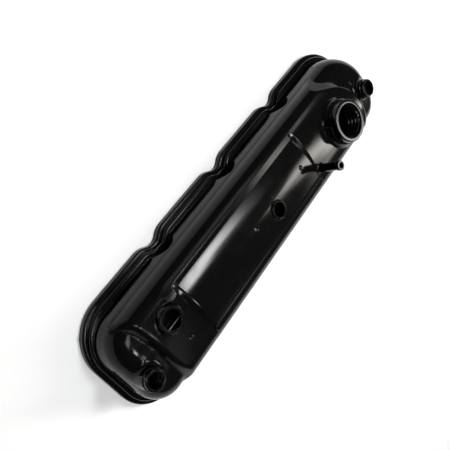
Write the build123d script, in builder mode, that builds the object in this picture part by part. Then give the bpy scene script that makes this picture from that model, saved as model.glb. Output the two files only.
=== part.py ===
"""Engine valve cover of an in-line four-cylinder engine, pressed from sheet steel.

Millimetres, +Z up. The origin is the centre of the flange on the plane where
the cover sits on the cylinder head. The oil filler is towards +X and the three
scallops of the flange are on the +Y side.
"""
import math
import os

from build123d import *

# ---------------------------------------------------------------- dimensions
sheet = 1.2  # thickness of the cover's steel
draft = 6.0  # lean of the drawn walls, degrees

# flange: a turned-down lip, a gasket seat and a second step before the wall
length = 421.0
width = 109.5
near_corner = 42.0  # plan radius of the corners on the scalloped side
far_corner = 48.5
plain_corner = 34.5  # plan radius of the two corners on the plain side
lip_height = 7.0
lip_bend = 2.2
seat_width = 4.0
step_height = 5.0
step_bend = 1.8
step_width = 5.5
end_step_width = 2.5  # the same step across the two ends
near_wall_corner = 33.0  # plan radius of the wall's corners at its foot
far_wall_corner = 43.0
plain_wall_corner = 27.0

# scallops, one beside each gap between the cylinders
scallop_pitch = 98.0  # the engine's bore pitch
scallop_shift = 1.0
scallop_depth = 6.0
scallop_radius = 12.0
scallop_blend = 20.0
scoop_radius = 20.0
scoop_lean = 17.0  # degrees the scoop in the wall leans outwards
scoop_lip = 4.0  # radius of the edge between scoop and wall

# top of the cover
end_top = 47.0  # height of the low ends that carry the studs
end_radius = 100.0  # crown of the low ends
end_shoulder = 20.0
crown_radius = 87.0
crown_top = 54.4
plateau_radius = 200.0  # flatter top round the breather hole
plateau_top = 51.3
notched_shoulder = 16.0
plain_shoulder = 19.0
raised_start = -172.5  # foot of the slope at the near end
raised_corner = 50.0  # plan radius of that foot on the plain side
raised_turn = -5.0  # y where the corner begins
crown_start = -125.0
crown_blend = 3.0
slope = 40.0  # lean of the slopes down to the low ends, degrees
slope_bend = 5.0
hump_centre = (127.0, -11.0)
hump_radius = 41.5

# recessed panel, with a sloping border on three sides
panel = (-122.5, 59.5)
panel_foot = 26.5  # where the border meets the panel's floor
panel_edge = 32.3  # and where it meets the crown
panel_fade = -21.0  # where the recess runs out on the plain side
panel_depth = 1.8
panel_border = 5.5

# beads beside the panel: one on the plain side and a short one at the near corner
bead_y = -27.6
bead = (-125.5, 62.5)
bead_width = 7.6
bead_height = 1.4
edge_bead_y = 33.3
edge_bead = (-134.0, -27.0)
edge_bead_width = 5.2
edge_bead_height = 1.1
mound = (-134.0, 28.8)  # round end of the short bead, beside the breather hole
mound_radius = 6.3

# holes in the top
stud_y = -4.65
studs = (-191.8, 178.5)
stud_hole = 7.1
boss_top = 57.0
boss_radius = 10.0
boss_step = 53.4
boss_rim = 9.2
boss_foot = 4.5  # radius of the blend round the boss
breather = (-148.0, 14.6)
breather_hole = 8.8
breather_collar = 12.0
breather_rise = 3.0
sender = (-3.5, -5.6)
sender_hole = 7.1
sender_collar = 9.0
sender_rise = 1.0
filler = (119.8, -3.45)
collar_radius = 23.2
collar_flare = 26.0
collar_top = 61.5

# filler neck
neck_top = 68.0
neck_radius = 21.4
mouth_bore = 17.9
mouth_depth = 2.6
thread_bore = 16.4  # radius at the crests of the cap's thread; the turns are left out
neck_spigot = 19.6  # radius of the part that passes through the cover
neck_bottom = 50.0
neck_crimp = 20.4  # the spigot is rolled out under the collar
crimp_height = 1.4

# hose pipe
pipe = (67.0, -17.35)
pipe_radius = 4.2
pipe_bore = 3.0
pipe_bead = 4.8
pipe_top = 79.0
pipe_bottom = 46.0

# spot welds that hold the baffle, and the baffle plate
welds = ((-145.0, -10.8), (-34.0, 1.3), (46.0, 2.3), (98.0, 12.7), (168.6, 10.5))
weld_radius = 2.6
weld_depth = 0.5
baffle_sheet = 1.0
baffle_level = 40.0  # underside of the baffle
baffle = (-164.0, 176.0)
baffle_sides = (-27.0, 24.0)
baffle_lip = 5.0
baffle_corner = 8.0
baffle_pad = 4.0
baffle_cone = 9.0
stud_room = 13.0
drain_hole = 14.0
rib_y = 5.0
rib_radius = 2.5
rib = (-158.0, 84.0)

# ------------------------------------------------------------ derived values
lean = math.tan(math.radians(draft))
tangent = math.tan(math.radians(slope))
ledge = lip_height + step_height
foot = seat_width + step_width
crown_axis = crown_top - crown_radius
half_chord = math.sqrt(2 * scallop_radius * scallop_depth - scallop_depth**2)
scallops = [scallop_shift + i * scallop_pitch for i in (-1, 0, 1)]
bury = 4.0  # how far a form starts inside the one below it
upright = (Align.CENTER, Align.CENTER, Align.MIN)
tilt = panel_depth / (panel_edge - panel_fade)
overcut = 0.3  # how far a cut's face passes through the surface it runs out of
fade_drop = math.sqrt(crown_radius**2 - panel_fade**2)
floor_y = -fade_drop * math.sin(tilt)
floor_axis = crown_axis + panel_fade * math.sin(tilt)


def crown_height(y, inset=0):
    """Height of the crown at a distance y from the middle."""
    return crown_axis + math.sqrt((crown_radius - inset) ** 2 - y**2)


def floor_height(y, inset=0):
    """Height of the panel's floor: the crown swung down about its plain edge."""
    return floor_axis + math.sqrt((crown_radius - inset) ** 2 - (y - floor_y) ** 2)


def over_crown(y, inset=0):
    """Just above the crown, where a sloping cut has run out of it."""
    return crown_height(y, inset) + overcut


def surface_height(x, y):
    """Height of the outside of the cover at a spot weld."""
    if panel[0] < x < panel[1]:
        return floor_height(y)
    if x < crown_start:
        return plateau_top - plateau_radius + math.sqrt(plateau_radius**2 - y**2)
    if x > hump_centre[0] + hump_radius - 6:
        return end_top - end_radius + math.sqrt(end_radius**2 - y**2)
    return crown_height(y)


def rounded_plan(long, wide, near, far, plain):
    """Rectangle in plan: near and far corners on the scalloped side, two plain ones."""
    corners = [(-long / 2, -wide / 2), (long / 2, -wide / 2), (long / 2, wide / 2)]
    corners.append((-long / 2, wide / 2))
    with BuildSketch() as plan:
        with BuildLine():
            FilletPolyline(*corners, radius=[plain, plain, far, near], close=True)
        make_face()
    return plan.sketch


def flange_plan(inset):
    """Outline of the flange with its three scallops, moved in by inset."""
    with BuildSketch() as plan:
        add(rounded_plan(length, width, near_corner, far_corner, plain_corner))
        with Locations([(x, width / 2 + scallop_radius - scallop_depth) for x in scallops]):
            Circle(scallop_radius, mode=Mode.SUBTRACT)
        mouths = [x + s * half_chord for x in scallops for s in (-1, 1)]
        edge = plan.vertices().group_by(Axis.Y)[-1]
        fillet([v for v in edge if min(abs(v.X - x) for x in mouths) < 0.01], scallop_blend)
        if inset > 0:
            offset(amount=-inset, mode=Mode.REPLACE)
    return plan.sketch


def flange_layer(inset, low, high, bend):
    """One layer of the flange, its upper edge bent to a radius."""
    with BuildPart() as layer:
        extrude(Plane.XY.offset(low) * flange_plan(inset), amount=high - low)
        fillet(layer.faces().sort_by(Axis.Z)[-1].outer_wire().edges(), bend)
    return layer.part


def cross_section(x, radius, top, inset):
    """Section across the raised part: leaning walls, shoulders and a crown."""
    r = radius - inset
    axis = top - radius
    reach = width / 2 - foot - inset + ledge * lean
    a = 1 + lean**2
    b = reach * lean + axis
    z = (b + math.sqrt(b**2 - a * (reach**2 + axis**2 - r**2))) / a
    y = reach - lean * z
    low = ledge - bury
    with BuildSketch(Plane.YZ.offset(x)) as section:
        with BuildLine():
            Polyline((-y, z), (lean * low - reach, low), (reach - lean * low, low), (y, z))
            ThreePointArc((y, z), (0, axis + r), (-y, z))
        make_face()
        corner = section.vertices().group_by(Axis.Y)[-1].sort_by(Axis.X)[-1]
        fillet(corner, notched_shoulder - inset)
        corner = [v for v in section.vertices() if v.X < 0 and abs(v.Y - z) < 0.01]
        fillet(corner, plain_shoulder - inset)
    return section.sketch


def raised_part(inset):
    """The high middle of the cover, from the near slope to the filler hump."""
    plateau_end = cross_section(crown_start - crown_blend, plateau_radius, plateau_top, inset)
    crown_face = cross_section(crown_start + crown_blend, crown_radius, crown_top, inset)
    level = 30.0
    grow = (end_top - level) * tangent - inset / math.cos(math.radians(slope))
    near = raised_start - grow
    with BuildPart() as cutter:
        with BuildSketch(Plane.XY.offset(level)):
            with Locations(hump_centre):
                Circle(hump_radius + grow)
            with Locations((raised_start + raised_corner, raised_turn)):
                Circle(raised_corner + grow)
            with Locations(((near + 60) / 2, (75 + raised_turn) / 2)):
                Rectangle(60 - near, 75 - raised_turn)
            make_hull()
        extrude(amount=crown_top + 5 - level, taper=slope)
    with BuildPart() as raised:
        extrude(plateau_end, amount=-70)
        loft([plateau_end, crown_face])
        extrude(crown_face, amount=310)
        add(cutter.part, mode=Mode.INTERSECT)
        near_faces = [f for f in raised.faces() if f.center().X < raised_start + 10]
        rims = [e for f in near_faces for e in f.edges() if e.center().Z > level + 4.9]
        fillet([e for e in rims if abs(e.center().Y - raised_turn) > 0.5], slope_bend - inset)
        far_faces = [f for f in raised.faces().filter_by(GeomType.CONE) if f.center().X > 0]
        rims = [e for f in far_faces for e in f.edges() if e.center().Z > level + 4.9]
        fillet([e for e in rims if e.length > 5], slope_bend - inset)
    return raised.part


def upright_plane(centre):
    """Vertical plane through centre, for a half section of (radius, height)."""
    return Plane(origin=(*centre, 0), x_dir=(1, 0, 0), z_dir=(0, -1, 0))


def turned(points, centre, bends=()):
    """A solid of revolution about centre; bends are (corner number, radius)."""
    with BuildPart() as solid:
        with BuildSketch(upright_plane(centre)) as half:
            with BuildLine():
                Polyline(*points, close=True)
            make_face()
            for corner, radius in bends:
                at = Vector(*points[corner])
                nearest = half.vertices().sort_by(lambda v: (Vector(v.X, v.Y) - at).length)[0]
                fillet(nearest, radius)
        revolve(axis=Axis((*centre, 0), (0, 0, 1)))
    return solid.part


def panel_section(x, height, inset):
    """Section of the space over the panel, above a floor of the given height."""
    middle = (panel_foot + panel_fade) / 2
    floor = [(y, height(y, inset)) for y in (panel_foot, middle, panel_fade)]
    rim = over_crown if height == over_crown else crown_height
    rise = rim(panel_edge, inset)
    slant = (rise - floor[0][1]) / (panel_edge - panel_foot)
    out = panel_edge + 0.8
    corner = (out, rise + 0.8 * slant)
    with BuildSketch(Plane.YZ.offset(x)) as section:
        with BuildLine():
            ThreePointArc(*floor)
            Polyline(floor[2], (panel_fade, 60), (out, 60), corner, floor[0])
        make_face()
    return section.sketch


def recess(inset):
    """The space over the panel and its sloping borders at both ends."""
    with BuildPart() as space:
        near = panel_section(panel[0], floor_height, inset)
        far = panel_section(panel[1], floor_height, inset)
        extrude(near, amount=panel[1] - panel[0])
        loft([panel_section(panel[0] - panel_border, over_crown, inset), near], ruled=True)
        loft([far, panel_section(panel[1] + panel_border, over_crown, inset)], ruled=True)
    return space.part


def drawn_body(inset):
    """Walls, low ends and raised middle, with the scoops and the panel cut in."""
    with BuildPart() as tub:
        reach = foot + inset - bury * lean
        end_reach = seat_width + end_step_width + inset - bury * lean
        radii = [r - inset for r in (near_wall_corner, far_wall_corner, plain_wall_corner)]
        plan = rounded_plan(length - 2 * end_reach, width - 2 * reach, *radii)
        extrude(Plane.XY.offset(ledge - bury) * plan, amount=end_top - ledge + bury, taper=draft)
        with Locations(Location((0, 0, end_top - end_radius), (0, 90, 0))):
            Cylinder(end_radius - inset, length, mode=Mode.INTERSECT)
        crown = tub.faces().sort_by(Axis.Z)[-1]
        fillet(crown.edges(), end_shoulder - inset)
        with Locations([(x, stud_y, 20) for x in studs]):
            Cylinder(boss_radius - inset, boss_step - 20 - inset, align=upright)
        feet = []
        for edge in tub.edges():
            aside = min(math.hypot((edge @ 0).X - x, (edge @ 0).Y - stud_y) for x in studs)
            if aside < boss_radius - inset + 0.1 and 35 < edge.center().Z < end_top - inset + 0.1:
                feet.append(edge)
        fillet(feet, boss_foot + inset)
        fillet(tub.edges().group_by(Axis.Z)[-1], 1.0)
        with Locations([(x, stud_y, 20) for x in studs]):
            Cylinder(boss_rim - inset, boss_top - 20 - inset, align=upright)
        fillet(tub.edges().group_by(Axis.Z)[-1], 0.7)

    with BuildPart() as body:
        add(tub.part)
        add(raised_part(inset))
        away = width / 2 - foot - scallop_depth + scoop_radius
        with BuildSketch(Plane.XY.offset(ledge - inset)) as mouths:
            with Locations([(x, away) for x in scallops]):
                Circle(scoop_radius + inset)
        lift = (0, math.tan(math.radians(scoop_lean)), 1)
        extrude(mouths.sketch, amount=40, dir=lift, mode=Mode.SUBTRACT)
        lips = []
        for edge in body.edges().filter_by(GeomType.BSPLINE):
            aside = min(abs(edge.center().X - x) for x in scallops)
            if aside < scoop_radius and 14 < edge.center().Z < 35 and edge.length < scoop_radius:
                lips.append(edge)
        fillet(lips, scoop_lip - inset)
        add(recess(inset), mode=Mode.SUBTRACT)
    return body.part


def slot_plan(ends, y, wide, inset):
    """Plan of a bead with round ends."""
    with BuildSketch() as plan:
        with Locations(((ends[0] + ends[1]) / 2, y)):
            SlotOverall(ends[1] - ends[0] - 2 * inset, wide - 2 * inset)
    return plan.sketch


def edge_bead_plan(inset):
    """Plan of the short bead with the mound at its near end."""
    size = mound_radius - inset
    with BuildSketch() as plan:
        add(slot_plan(edge_bead, edge_bead_y, edge_bead_width, inset))
        with Locations(Location(mound, (0, 0, 200))):
            Circle(size)
        meets = [v for v in plan.vertices() if v.X > mound[0] - size * 0.9]
        meets = [v for v in meets if abs(math.hypot(v.X - mound[0], v.Y - mound[1]) - size) < 0.01]
        fillet(meets, 2.0 + inset)
    return plan.sketch


def crown_bead(plan, height, inset):
    """Flat-topped bead of that plan that follows the crown."""
    with BuildPart() as ridge:
        extrude(Plane.XY.offset(40) * plan, amount=20)
        with Locations(Location((0, 0, crown_axis), (0, 90, 0))):
            Cylinder(crown_radius + height - inset, 300, mode=Mode.INTERSECT)
        fillet(ridge.faces().sort_by(Axis.Z)[-1].edges(), 0.9 - 0.6 * inset)
    return ridge.part


def pressing(inset):
    """The cover as a solid: its outside, or its inside when inset is the sheet."""
    low = crown_top - 1.0 - inset
    side = collar_radius - inset
    collar = [(0, 40), (collar_flare - inset, 40), (collar_flare - inset, low), (side + 1, low + 2.2)]
    collar += [(side, low + 4), (side, collar_top - 1.4 - inset), (side - 1.4, collar_top - inset)]
    collar += [(0, collar_top - inset)]
    with BuildPart() as form:
        add(drawn_body(inset))
        add(crown_bead(slot_plan(bead, bead_y, bead_width, inset), bead_height, inset))
        add(crown_bead(edge_bead_plan(inset), edge_bead_height, inset))
        for centre, radius, base, rise in (
            (breather, breather_collar - inset, plateau_top - inset, breather_rise),
            (sender, sender_collar - inset, crown_top - inset, sender_rise),
        ):
            rim = [(0, 40), (radius + 1.2, 40), (radius + 1.2, base - 1.5)]
            rim += [(radius, base + rise - 0.7), (radius - 0.9, base + rise), (0, base + rise)]
            add(turned(rim, centre))
        add(turned(collar, filler))
        step_round = step_bend - inset + 0.3
        add(flange_layer(seat_width + inset, lip_height - bury, ledge - inset, step_round))
        add(flange_layer(inset, 0, lip_height - inset, lip_bend - inset))
    return form.part


def drilled(centre, radius, bottom=20.0, top=80.0):
    """A vertical drill through the top of the cover."""
    with BuildPart() as drill:
        with Locations((centre[0], centre[1], (bottom + top) / 2)):
            Cylinder(radius, top - bottom)
    return drill.part


# ------------------------------------------------------------- cover shell
outside = pressing(0)
inside = pressing(sheet)
with BuildPart() as cover_shell:
    add(outside)
    add(inside, mode=Mode.SUBTRACT)
    for stud in studs:
        add(drilled((stud, stud_y), stud_hole), mode=Mode.SUBTRACT)
    add(drilled(breather, breather_hole), mode=Mode.SUBTRACT)
    add(drilled(sender, sender_hole), mode=Mode.SUBTRACT)
    add(drilled(filler, neck_spigot), mode=Mode.SUBTRACT)
    add(drilled(pipe, pipe_radius), mode=Mode.SUBTRACT)
    ball = (weld_radius**2 + weld_depth**2) / (2 * weld_depth)
    with Locations([(x, y, surface_height(x, y) - weld_depth + ball) for x, y in welds]):
        Sphere(ball, mode=Mode.SUBTRACT)

# ------------------------------------------------------------- filler neck
under = collar_top - sheet
neck = [(thread_bore, neck_bottom), (neck_spigot, neck_bottom)]
neck += [(neck_spigot, under - crimp_height)]
neck += [(neck_crimp, under - crimp_height + 0.4), (neck_crimp, under), (neck_spigot, under)]
neck += [(neck_spigot, collar_top), (neck_radius, collar_top), (neck_radius, neck_top)]
neck += [(mouth_bore, neck_top), (mouth_bore, neck_top - mouth_depth)]
neck += [(thread_bore, neck_top - mouth_depth - mouth_bore + thread_bore)]
with BuildPart() as filler_neck:
    add(turned(neck, filler, ((8, 1.6), (9, 0.8))))

# --------------------------------------------------------------- hose pipe
tube = [(pipe_bore, pipe_bottom), (pipe_radius, pipe_bottom), (pipe_radius, pipe_top - 5.0)]
tube += [(pipe_bead, pipe_top - 3.6), (pipe_bead, pipe_top), (pipe_bore, pipe_top)]
with BuildPart() as hose_pipe:
    add(turned(tube, pipe, ((3, 1.0), (4, 0.6))))


# ------------------------------------------------------------ baffle plate
def baffle_form(skin):
    """Outside of the baffle, or with a skin the space under its sheet."""
    with BuildPart() as form:
        across = baffle_sides[1] - baffle_sides[0] - 2 * skin
        along = baffle[1] - baffle[0] - 2 * skin
        with BuildSketch(Plane.XY.offset(baffle_level - baffle_lip - 0.1 * skin)):
            with Locations(((baffle[0] + baffle[1]) / 2, (baffle_sides[0] + baffle_sides[1]) / 2)):
                RectangleRounded(along, across, baffle_corner - skin)
            with Locations((studs[1], stud_y)):
                Circle(stud_room + skin, mode=Mode.SUBTRACT)
        extrude(amount=baffle_lip + baffle_sheet - 0.9 * skin)
        if skin == 0:
            fillet(form.faces().sort_by(Axis.Z)[-1].edges(), 1.5)
        with Locations([(x, y, baffle_level) for x, y in welds]):
            Cone(baffle_cone - skin, baffle_pad - skin, crown_top - baffle_level, align=upright)
        rib_middle = ((rib[0] + rib[1]) / 2, rib_y, baffle_level + baffle_sheet)
        with Locations(Location(rib_middle, (0, 90, 0))):
            Cylinder(rib_radius - skin, rib[1] - rib[0] - 2 * skin)
        with Locations(Location((0, 0, crown_axis), (0, 90, 0))):
            Cylinder(crown_radius - sheet - skin, length, mode=Mode.INTERSECT)
    return form.part


with BuildPart() as ceiling:
    add(inside.moved(Location((0, 0, -baffle_sheet))))
with BuildPart() as hollow:
    add(baffle_form(baffle_sheet))
    add(ceiling.part, mode=Mode.INTERSECT)
with BuildPart() as baffle_plate:
    add(baffle_form(0))
    add(inside, mode=Mode.INTERSECT)
    add(hollow.part, mode=Mode.SUBTRACT)
    with Locations((*filler, baffle_level)):
        Cylinder(drain_hole, 10, mode=Mode.SUBTRACT)

cover_shell.part.label = "cover_shell"
filler_neck.part.label = "filler_neck"
hose_pipe.part.label = "hose_pipe"
baffle_plate.part.label = "baffle_plate"
os.makedirs("parts", exist_ok=True)
export_step(cover_shell.part, "parts/cover_shell.step")
export_step(filler_neck.part, "parts/filler_neck.step")
export_step(hose_pipe.part, "parts/hose_pipe.step")
export_step(baffle_plate.part, "parts/baffle_plate.step")
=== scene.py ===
"""Engine valve cover: paints, threaded filler neck, braze, floor, lights and camera.

Metres, in the frame of the CAD: +X towards the oil filler, +Y the scalloped side,
z = 0 the plane of the cylinder head, which is also the floor. The sizes of the two
pieces made here are in millimetres, as in the CAD, and mesh_piece scales them.
"""

import math

import bmesh
import bpy
from mathutils import Matrix, Vector


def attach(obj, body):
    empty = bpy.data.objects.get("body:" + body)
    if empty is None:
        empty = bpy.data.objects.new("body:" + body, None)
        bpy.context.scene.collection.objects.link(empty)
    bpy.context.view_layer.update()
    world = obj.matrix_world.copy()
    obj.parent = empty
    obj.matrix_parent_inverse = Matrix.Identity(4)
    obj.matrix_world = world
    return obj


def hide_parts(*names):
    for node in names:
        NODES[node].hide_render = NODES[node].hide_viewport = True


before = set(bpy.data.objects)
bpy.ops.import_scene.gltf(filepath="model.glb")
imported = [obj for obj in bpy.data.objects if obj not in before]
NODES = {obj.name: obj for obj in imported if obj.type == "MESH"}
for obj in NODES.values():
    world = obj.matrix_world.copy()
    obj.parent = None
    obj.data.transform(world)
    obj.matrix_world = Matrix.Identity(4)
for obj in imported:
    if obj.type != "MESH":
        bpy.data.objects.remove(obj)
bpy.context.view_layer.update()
MM = 0.001
scene = bpy.context.scene


# ------------------------------------------------------------------ node tools
class Tree:
    """A material's node tree, with short calls for the nodes used here."""

    def __init__(self, name):
        self.material = bpy.data.materials.new(name)
        self.material.use_nodes = True
        self.nodes = self.material.node_tree.nodes
        self.links = self.material.node_tree.links
        self.nodes.clear()
        self.output = self.nodes.new("ShaderNodeOutputMaterial")

    def feed(self, socket, value):
        """Give a socket another node's output, or else a value of its own."""
        if isinstance(value, bpy.types.NodeSocket):
            self.links.new(value, socket)
        else:
            socket.default_value = value

    def node(self, kind, **inputs):
        made = self.nodes.new(kind)
        for key, value in inputs.items():
            self.feed(made.inputs[key.replace("_", " ")], value)
        return made

    def math(self, operation, *values, clamp=False):
        made = self.nodes.new("ShaderNodeMath")
        made.operation = operation
        made.use_clamp = clamp
        for socket, value in zip(made.inputs, values):
            self.feed(socket, value)
        return made.outputs[0]

    def vector(self, operation, *values):
        """A vector node whose result is a number."""
        made = self.nodes.new("ShaderNodeVectorMath")
        made.operation = operation
        for socket, value in zip(made.inputs, values):
            self.feed(socket, value)
        return made.outputs["Value"]

    def span(self, value, low, high, to_low=0.0, to_high=1.0):
        """value from low..high spread smoothly over to_low..to_high."""
        made = self.node("ShaderNodeMapRange", Value=value, From_Min=low, From_Max=high,
                         To_Min=to_low, To_Max=to_high)
        made.interpolation_type = "SMOOTHSTEP"
        return made.outputs["Result"]

    def blend(self, factor, first, second):
        """Colour that goes from first to second with factor."""
        made = self.nodes.new("ShaderNodeMix")
        made.data_type = "RGBA"
        self.feed(made.inputs["Factor"], factor)
        colours = [socket for socket in made.inputs if socket.type == "RGBA"]
        for socket, value in zip(colours, (first, second)):
            self.feed(socket, value)
        return [socket for socket in made.outputs if socket.type == "RGBA"][0]

    def place(self, shift):
        """Position on the object, in metres, moved so that no two paints repeat."""
        coordinates = self.nodes.new("ShaderNodeTexCoord")
        mapping = self.node("ShaderNodeMapping", Vector=coordinates.outputs["Object"],
                            Location=(shift, shift * 0.7, shift * 0.3))
        return mapping.outputs["Vector"]

    def away(self, axis, centre):
        """Distance on the object, along X or Y, from a place on that axis."""
        coordinates = self.nodes.new("ShaderNodeTexCoord")
        parts = self.node("ShaderNodeSeparateXYZ", Vector=coordinates.outputs["Object"])
        return self.math("ABSOLUTE", self.math("SUBTRACT", parts.outputs[axis], centre))

    def noise(self, at, scale, detail, roughness, distortion=0.0):
        made = self.node("ShaderNodeTexNoise", Vector=at, Scale=scale, Detail=detail,
                         Roughness=roughness, Distortion=distortion)
        return made.outputs["Fac"]

    def patches(self, at, noise, low, high):
        """Patches of a noise: none where it is under low, full where it is over high."""
        return self.span(self.noise(at, *noise), low, high)

    def bump(self, height, distance, normal):
        made = self.node("ShaderNodeBump", Height=height, Distance=distance, Normal=normal)
        made.inputs["Strength"].default_value = 1.0
        return made.outputs["Normal"]


# ------------------------------------------------------------------ paint
BLACK = (0.0012, 0.00125, 0.00135, 1)
DUST = (0.030, 0.030, 0.028, 1)
WORN = (0.03, 0.027, 0.023, 1)
CREST_HIGHLIGHT = (0.70, 0.70, 0.68, 1)  # painted highlight along a rib: pale, and no metal, which would mirror the dark room
STEEL = (0.55, 0.55, 0.56, 1)
PAINT_IOR = 1.265  # under a real paint's 1.5, so that the white floor is faint in it

# Noises: scale per metre, detail and roughness, and for the smears a distortion.
PEEL = (420.0, 2.0, 0.45)
SAG = (38.0, 1.0, 0.4)
# Patches: a noise, and the values of it between which they set in.
SMEARS = ((16.0, 4.0, 0.6, 0.8), 0.42, 0.68)
SPECKS = ((1500.0, 1.0, 0.5), 0.70, 0.76)
FILM = ((60.0, 5.0, 0.65), 0.45, 0.8)
SCUFFS = ((130.0, 5.0, 0.7), 0.5, 0.62)
# breaks the painted highlight along a rib into patches
HIGHLIGHT_BREAKS = ((210.0, 3.0, 0.6), 0.30, 0.45)

FILM_PATCHY, FILM_EVEN = 0.35, 0.5  # the film of dust: in patches, and everywhere
LEVEL = (0.2, 0.95)  # the normal's z from which dust lies, and lies in full
SOFT = 0.35 * MM  # radius at which every edge is drawn
BEVEL_SAMPLES = 12
SLOPE_CORE = 0.6  # share of a softer stretch over which it is as soft as it gets
EDGE = (0.02, 0.2)  # 1 - cosine between the drawn and the flat normal, at an edge
WEAR = 0.4  # how much of the scuffs shows at the edges
CREST_CORE = 0.6  # share of a crest's width where the painted highlight is full
SMEAR_ROUGH, DUST_ROUGH, WEAR_ROUGH = 0.05, 0.35, 0.3  # what each adds to the roughness


def black_paint(name, shift, gloss=0.08, peel=5e-6, sag=25e-6, dust=0.15, bare=0.0,
                slope=None, crest=None):
    """Gloss black stoving paint on pressed steel: orange peel, faint dust, thin edges.

    gloss is the roughness where the paint is clean, and peel and sag are heights in
    metres. bare is how far the paint has left the edges, so that steel shows. slope is
    a place along x, a half width and a radius: the edges there are drawn softer. crest
    is a place along y and a half width where a painted highlight, a pale line in
    patches, is laid along a rib.
    """
    t = Tree(name)
    at = t.place(shift)
    bevel = t.node("ShaderNodeBevel", Radius=SOFT)
    bevel.samples = BEVEL_SAMPLES
    if slope is not None:
        centre, half, radius = slope
        away = t.away("X", centre)
        t.feed(bevel.inputs["Radius"], t.span(away, half * SLOPE_CORE, half, radius, SOFT))
    normal = t.bump(t.noise(at, *SAG), sag, bevel.outputs["Normal"])
    normal = t.bump(t.noise(at, *PEEL), peel, normal)

    geometry = t.nodes.new("ShaderNodeNewGeometry")
    flat = geometry.outputs["Normal"]
    parts = t.node("ShaderNodeSeparateXYZ", Vector=flat)
    level = t.span(parts.outputs["Z"], *LEVEL)
    film = t.math("MULTIPLY_ADD", t.patches(at, *FILM), FILM_PATCHY, FILM_EVEN)
    film = t.math("MULTIPLY", film, level)
    specks = t.math("MULTIPLY", t.patches(at, *SPECKS), level)
    dusty = t.math("MULTIPLY", t.math("ADD", film, specks, clamp=True), dust)

    turn = t.vector("DOT_PRODUCT", bevel.outputs["Normal"], flat)
    edge = t.span(t.math("SUBTRACT", 1.0, turn), *EDGE)
    worn = t.math("MULTIPLY", t.math("MULTIPLY", edge, t.patches(at, *SCUFFS)), WEAR)
    metal = t.math("MULTIPLY", edge, bare)

    colour = t.blend(dusty, BLACK, DUST)
    colour = t.blend(worn, colour, WORN)
    if crest is not None:
        centre, half = crest
        # Painted highlight: a pale line along the rib's crest, in patches.
        line = t.span(t.away("Y", centre), half, half * CREST_CORE)
        line = t.math("MULTIPLY", line, t.patches(at, *HIGHLIGHT_BREAKS))
        colour = t.blend(line, colour, CREST_HIGHLIGHT)
    colour = t.blend(metal, colour, STEEL)
    rough = t.math("MULTIPLY_ADD", t.patches(at, *SMEARS), SMEAR_ROUGH, gloss)
    rough = t.math("ADD", rough, t.math("MULTIPLY", dusty, DUST_ROUGH))
    rough = t.math("ADD", rough, t.math("MULTIPLY", worn, WEAR_ROUGH), clamp=True)

    shader = t.node("ShaderNodeBsdfPrincipled", Base_Color=colour, Roughness=rough,
                    Metallic=metal, Normal=normal, IOR=PAINT_IOR)
    t.feed(t.output.inputs["Surface"], shader.outputs["BSDF"])
    return t.material


def paint(node, material):
    piece = NODES[node]
    piece.data.materials.clear()
    piece.data.materials.append(material)


# ------------------------------------------------------------------ pieces made here
def mesh_piece(name, points, faces, material, smooth_below=35):
    """A new piece on the root body, its points in millimetres."""
    mesh = bpy.data.meshes.new(name)
    mesh.from_pydata([Vector(p) * MM for p in points], [], faces)
    mesh.validate()
    bm = bmesh.new()
    bm.from_mesh(mesh)
    bmesh.ops.recalc_face_normals(bm, faces=bm.faces)
    bm.to_mesh(mesh)
    bm.free()
    mesh.polygons.foreach_set("use_smooth", [True] * len(mesh.polygons))
    mesh.set_sharp_from_angle(angle=math.radians(smooth_below))
    mesh.materials.append(material)
    piece = bpy.data.objects.new(name, mesh)
    scene.collection.objects.link(piece)
    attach(piece, "root")
    return piece


def turned_faces(around, count, closed):
    """Faces between columns of count points each, which stand in a ring."""
    faces = []
    for k in range(around):
        here, there = k * count, (k + 1) % around * count
        for j in range(count if closed else count - 1):
            after = (j + 1) % count
            faces.append((here + j, there + j, there + after, here + after))
    return faces


# ------------------------------------------------------------------ filler neck with its thread
FILLER = (119.8, -3.45)
FOOT, SEAT, RIM = 50.0, 61.5, 68.0  # heights of the spigot's foot, collar and rim
BORE, SPIGOT, CRIMP, COLLAR = 16.6, 19.6, 20.4, 21.4  # radii
CRIMP_HEIGHTS = (58.9, 59.3, 60.3)  # the spigot is rolled out under the cover
RIM_ROUND = 1.2  # of the rim's outer edge
MOUTH, MOUTH_ROUND = 16.7, 1.0  # radius at the mouth, and of its edge
WALL_TOP, WALL_STEPS = 66.6, 54  # the bore's wall goes from here to the foot
THREAD_RISE, THREAD_PITCH = 1.7, 4.5  # the ridge stands inwards from the bore
THREAD_FOOT, THREAD_HEAD = 50.6, 66.2
THREAD_FADE = 1.4  # height over which the ridge grows at either end
NECK_AROUND = 144
ARC_STEPS = 6


def smooth(value, low, high):
    share = min(max((value - low) / (high - low), 0.0), 1.0)
    return share * share * (3 - 2 * share)


def arc(centre, radius, first, last):
    """Points on a quarter round in the r, z plane, angles in degrees."""
    turns = [math.radians(first + (last - first) * k / ARC_STEPS) for k in range(ARC_STEPS + 1)]
    return [(centre[0] + radius * math.cos(a), centre[1] + radius * math.sin(a)) for a in turns]


def thread_radius(z, turn):
    """Radius of the bore's wall: a round ridge that climbs with the angle."""
    phase = z / THREAD_PITCH - turn / (2 * math.pi)
    live = smooth(z, THREAD_FOOT, THREAD_FOOT + THREAD_FADE)
    live *= smooth(THREAD_HEAD - z, 0.0, THREAD_FADE)
    return BORE - THREAD_RISE * live * (0.5 - 0.5 * math.cos(2 * math.pi * phase))


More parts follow.
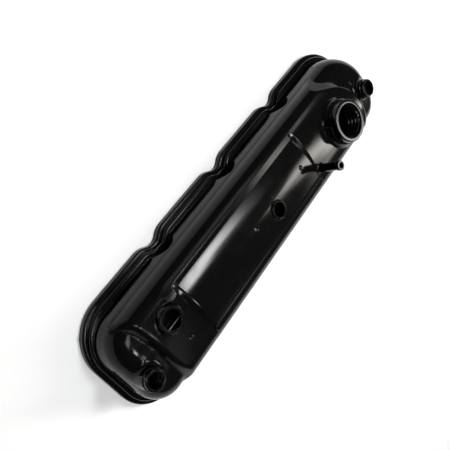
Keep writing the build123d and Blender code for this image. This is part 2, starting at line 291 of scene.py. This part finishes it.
def threaded_neck(material):
    """The filler neck turned whole: flat rim, coarse cap thread, collar seat, rolled foot."""
    low, high, under = CRIMP_HEIGHTS
    outside = [(BORE, FOOT), (SPIGOT, FOOT), (SPIGOT, low), (CRIMP, high), (CRIMP, under)]
    outside += [(SPIGOT, under), (SPIGOT, SEAT), (COLLAR, SEAT)]
    outside += arc((COLLAR - RIM_ROUND, RIM - RIM_ROUND), RIM_ROUND, 0, 90)
    outside += arc((MOUTH + MOUTH_ROUND, RIM - MOUTH_ROUND), MOUTH_ROUND, 90, 180)
    inside = [WALL_TOP - (WALL_TOP - FOOT) * k / WALL_STEPS for k in range(WALL_STEPS)]
    points = []
    for k in range(NECK_AROUND):
        turn = 2 * math.pi * k / NECK_AROUND
        for r, z in outside + [(thread_radius(z, turn), z) for z in inside]:
            points.append((FILLER[0] + r * math.cos(turn), FILLER[1] + r * math.sin(turn), z))
    faces = turned_faces(NECK_AROUND, len(outside) + len(inside), closed=True)
    neck = mesh_piece("threaded_neck", points, faces, material)
    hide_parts("filler_neck")


# ------------------------------------------------------------------ braze at the pipe
PIPE = (67.0, -17.35)
BRAZE_INNER = 4.0  # radius from which it is measured, just inside the pipe's outside
BRAZE_TUCK = 0.15  # how far it goes on into the pipe's wall
BRAZE_SINK = 0.12  # how far it starts under the cover's surface
BRAZE_WIDE, BRAZE_HIGH = 2.3, 2.0
WIDE_WAVES = ((0.35, 3, 0.6), (0.2, 7, 0.0))  # size, waves in a turn, shift
HIGH_WAVES = ((0.3, 2, 1.9),)
BRAZE_AROUND, BRAZE_ACROSS = 72, 7
RAY_START = 0.09  # metres, above the top of the pipe
PANEL_LEVEL = 52.5  # used where a ray misses the cover


def waved(turn, mean, waves):
    for size, count, shift in waves:
        mean += size * math.sin(count * turn + shift)
    return mean


def braze_ring(material):
    """The run of brazing metal round the pipe's foot, laid on the cover's own surface."""
    cover = NODES["cover_shell"]
    inverse = cover.matrix_world.inverted()
    down = inverse.to_3x3() @ Vector((0, 0, -1))
    points = []
    for k in range(BRAZE_AROUND):
        turn = 2 * math.pi * k / BRAZE_AROUND
        along = (math.cos(turn), math.sin(turn))
        wide = waved(turn, BRAZE_WIDE, WIDE_WAVES)
        high = waved(turn, BRAZE_HIGH, HIGH_WAVES)
        ray = [(PIPE[i] + (BRAZE_INNER + wide) * along[i]) * MM for i in (0, 1)]
        found, hit, _, _ = cover.ray_cast(inverse @ Vector((*ray, RAY_START)), down)
        level = (cover.matrix_world @ hit).z / MM if found else PANEL_LEVEL
        for j in range(BRAZE_ACROSS):
            bend = math.pi / 2 * j / (BRAZE_ACROSS - 1)  # hollow, from the cover to the pipe
            radius = BRAZE_INNER - BRAZE_TUCK + (wide + BRAZE_TUCK) * (1 - math.sin(bend))
            height = level - BRAZE_SINK + high * (1 - math.cos(bend))
            points.append((PIPE[0] + radius * along[0], PIPE[1] + radius * along[1], height))
    faces = turned_faces(BRAZE_AROUND, BRAZE_ACROSS, closed=False)
    mesh_piece("pipe_braze", points, faces, material, smooth_below=80)


neck_paint = black_paint("neck_paint", 1.3, peel=3e-6, sag=8e-6)
paint("cover_shell", black_paint("cover_paint", 0.0, slope=(-0.1735, 0.017, 3.5 * MM)))
paint("filler_neck", neck_paint)
threaded_neck(neck_paint)
paint("hose_pipe", black_paint("pipe_paint", 2.1, peel=2e-6, sag=5e-6))
braze_ring(black_paint("braze_paint", 4.4, peel=12e-6, sag=60e-6))
# The baffle's crest gets a painted highlight along its rib.
paint("baffle_plate", black_paint("baffle_paint", 3.7, gloss=0.12, dust=0.05, bare=0.9,
                                  crest=(0.005, 0.0006)))


# ------------------------------------------------------------------ floor
WHITE = (0.82, 0.82, 0.82, 1)
NEAR_GLOW, FAR_GLOW = 0.23, 0.8  # the floor's own light for the camera and in reflections
GLOW_NEAR, GLOW_FAR = 0.8, 2.2  # distances from the middle where those two hold
COVERED = (0.202, 0.046)  # half sizes of the floor that the cover closes off: no glow there, a painted shadow under the cover
COVERED_FADE = 0.004
FLAT_RINGS = (0.5, 2.2)  # radii of the flat part, and then the floor curves up
SWEEP = 0.3  # radius of that curve
SWEEP_RINGS, SWEEP_TURN = 9, 9  # rings on it, and degrees from one to the next
FLOOR_SIDES = 96
FLOOR_DROP = 0.0002  # under the cover's rim, so that no two faces lie in one plane


def sweep_mesh():
    """A flat floor that curves up far behind the object."""
    mesh = bpy.data.meshes.new("sweep")
    bm = bmesh.new()
    rings = [(radius, 0.0) for radius in FLAT_RINGS]
    for k in range(1, SWEEP_RINGS + 1):
        turn = math.radians(SWEEP_TURN * k)
        rings.append((FLAT_RINGS[-1] + SWEEP * math.sin(turn), SWEEP * (1 - math.cos(turn))))
    last = [bm.verts.new((0, 0, 0))]
    for radius, height in rings:
        row = []
        for k in range(FLOOR_SIDES):
            turn = 2 * math.pi * k / FLOOR_SIDES
            row.append(bm.verts.new((radius * math.cos(turn), radius * math.sin(turn), height)))
        for k in range(FLOOR_SIDES):
            after = (k + 1) % FLOOR_SIDES
            if len(last) == 1:
                bm.faces.new((last[0], row[k], row[after]))
            else:
                bm.faces.new((last[k], row[k], row[after], last[after]))
        last = row
    for face in bm.faces:
        face.smooth = True
    bm.to_mesh(mesh)
    bm.free()
    return mesh


def sweep_white():
    """White that the lamps light, with a glow that only the camera and reflections see, left out
    under the cover as a painted shadow.
    """
    t = Tree("sweep_white")
    diffuse = t.node("ShaderNodeBsdfDiffuse", Color=WHITE)
    path = t.nodes.new("ShaderNodeLightPath")
    seen = t.math("MAXIMUM", path.outputs["Is Camera Ray"], path.outputs["Is Glossy Ray"])
    seen = t.math("MAXIMUM", seen, path.outputs["Is Transmission Ray"])
    position = t.nodes.new("ShaderNodeNewGeometry").outputs["Position"]
    parts = t.node("ShaderNodeSeparateXYZ", Vector=position)
    beside = t.math("SUBTRACT", t.math("ABSOLUTE", parts.outputs["X"]), COVERED[0])
    ahead = t.math("SUBTRACT", t.math("ABSOLUTE", parts.outputs["Y"]), COVERED[1])
    # Painted shadow: the glow is left out where the cover closes off the floor.
    open_floor = t.span(t.math("MAXIMUM", beside, ahead), -COVERED_FADE, 0.0)
    seen = t.math("MULTIPLY", seen, open_floor)
    reach = t.vector("LENGTH", position)
    level = t.span(reach, GLOW_NEAR, GLOW_FAR, NEAR_GLOW, FAR_GLOW)
    glow = t.node("ShaderNodeEmission", Strength=t.math("MULTIPLY", seen, level))
    both = t.nodes.new("ShaderNodeAddShader")
    t.feed(both.inputs[0], diffuse.outputs[0])
    t.feed(both.inputs[1], glow.outputs[0])
    t.feed(t.output.inputs["Surface"], both.outputs[0])
    return t.material


def lay_floor():
    floor = bpy.data.objects.new("sweep", sweep_mesh())
    scene.collection.objects.link(floor)
    floor.location.z = -FLOOR_DROP
    floor.data.materials.append(sweep_white())


lay_floor()


# ------------------------------------------------------------------ lights
LAMP_HEIGHT = 1.0
LAYER = 0.004  # height from one lamp of a nest to the next
WARM = (1.0, 0.95, 0.89)


def softbox(name, at, size, radiance, along=(1, 0, 0), aim=(0, 0, 0.03), colour=(1, 1, 1)):
    """A flat lamp that faces aim, its first side along a direction, seen at a radiance."""
    light = bpy.data.lights.new(name, "AREA")
    light.shape = "RECTANGLE"
    light.color = colour
    light.size, light.size_y = size
    light.energy = radiance * math.pi * size[0] * size[1]
    lamp = bpy.data.objects.new(name, light)
    back = (Vector(at) - Vector(aim)).normalized()
    right = (Vector(along) - back * Vector(along).dot(back)).normalized()
    up = back.cross(right)
    lamp.matrix_world = Matrix.Translation(at) @ Matrix((right, up, back)).transposed().to_4x4()
    scene.collection.objects.link(lamp)


def soft_lamp(name, low, high, radiance, fade, steps=4):
    """A level lamp over low..high in x, y that fades over four widths: -x, +x, -y, +y."""
    for k in range(steps):  # the k-th is wider and a little further off
        out = (k + 0.5) / steps - 0.5
        left, right = low[0] - out * fade[0], high[0] + out * fade[1]
        near, far = low[1] - out * fade[2], high[1] + out * fade[3]
        at = ((left + right) / 2, (near + far) / 2, LAMP_HEIGHT + LAYER * k)
        softbox(f"{name}_{k}", at, (right - left, far - near), radiance / steps, aim=(*at[:2], 0))


def soft_strip(name, at, size, radiance, along, steps=5):
    """A warm lamp along a direction, aimed at the object, that fades all round."""
    for k in range(steps):  # from half to one and a half times as wide, and nearly as long
        share = k / (steps - 1)
        nest = (size[0] * (0.85 + 0.3 * share), size[1] * (0.5 + share))
        above = (at[0], at[1], at[2] + LAYER * k)
        softbox(f"{name}_{k}", above, nest, radiance / steps, along, colour=WARM)


soft_lamp("key", (0.188, 0.055), (0.385, 0.145), 57.0, (0.01, 0.20, 0.10, 0.03), steps=8)
soft_lamp("key_near", (0.188, -0.015), (0.26, 0.060), 54.0, (0.01, 0.13, 0.06, 0.03))
soft_lamp("key_spill", (0.185, -0.03), (0.52, 0.15), 3.9, (0.02, 0.12, 0.12, 0.03))
soft_lamp("key_back", (0.16, 0.365), (0.60, 0.405), 4.6, (0.04, 0.24, 0.02, 0.04))
soft_lamp("fill", (0.56, 0.42), (0.68, 0.86), 1.9, (0.04, 0.10, 0.10, 0.20))
soft_lamp("left", (-0.47, 0.21), (-0.15, 0.46), 7.7, (0.06, 0.06, 0.06, 0.06))
soft_lamp("right", (-0.28, -0.36), (-0.05, -0.28), 12.3, (0.06, 0.06, 0.04, 0.04))
soft_lamp("over", (-0.30, -0.16), (-0.18, -0.03), 37.0, (0.04, 0.04, 0.04, 0.04))
soft_lamp("sheen", (0.00, -1.10), (0.14, -0.50), 0.85, (0.04, 0.08, 0.10, 0.10))
softbox("spot", (0.85, 0.28, LAMP_HEIGHT), (0.12, 0.09), 4.8)
soft_strip("strip", (0.99, -0.66, LAMP_HEIGHT), (0.76, 0.20), 19.5, (1.0, -0.95, 0))
soft_strip("strip_low", (1.32, -1.25, LAMP_HEIGHT), (0.50, 0.22), 5.8, (0.6, -1.0, 0), steps=3)


# ------------------------------------------------------------------ world
HORIZON, ROOM = 0.19, 0.045  # strengths at the horizon, and higher up
ROOM_FROM = 0.35  # height on the unit sphere from which it is the room's
AIR = (0.86, 0.97, 1.0, 1)


def light_world():
    world = bpy.data.worlds.new("studio")
    world.use_nodes = True
    scene.world = world
    nodes, links = world.node_tree.nodes, world.node_tree.links
    direction = nodes.new("ShaderNodeTexCoord")
    split = nodes.new("ShaderNodeSeparateXYZ")
    links.new(direction.outputs["Generated"], split.inputs["Vector"])
    rise = nodes.new("ShaderNodeMapRange")
    rise.interpolation_type = "SMOOTHERSTEP"
    links.new(split.outputs["Z"], rise.inputs["Value"])
    ends = (("From Min", 0.0), ("From Max", ROOM_FROM), ("To Min", HORIZON), ("To Max", ROOM))
    for key, value in ends:
        rise.inputs[key].default_value = value
    links.new(rise.outputs["Result"], nodes["Background"].inputs["Strength"])
    nodes["Background"].inputs["Color"].default_value = AIR


light_world()


# ------------------------------------------------------------------ camera
PHOTO_WIDTH = 450
FOCAL = 563.546  # focal length in pixels of the photograph
SENSOR = 36.0
EYE = (-0.26373, 0.23252, 0.43643)
RIGHT = (0.55070, -0.57585, 0.60425)
UP = (0.71481, 0.69916, 0.01484)
BACK = (-0.43101, 0.42375, 0.79666)

camera = bpy.data.cameras.new("camera")
camera.sensor_width = SENSOR
camera.lens = FOCAL / PHOTO_WIDTH * SENSOR
camera.clip_start = 0.01
eye = bpy.data.objects.new("camera", camera)
eye.matrix_world = Matrix.Translation(EYE) @ Matrix((RIGHT, UP, BACK)).transposed().to_4x4()
scene.collection.objects.link(eye)
bpy.context.scene.camera = eye
bpy.context.scene.view_settings.view_transform = "Standard"
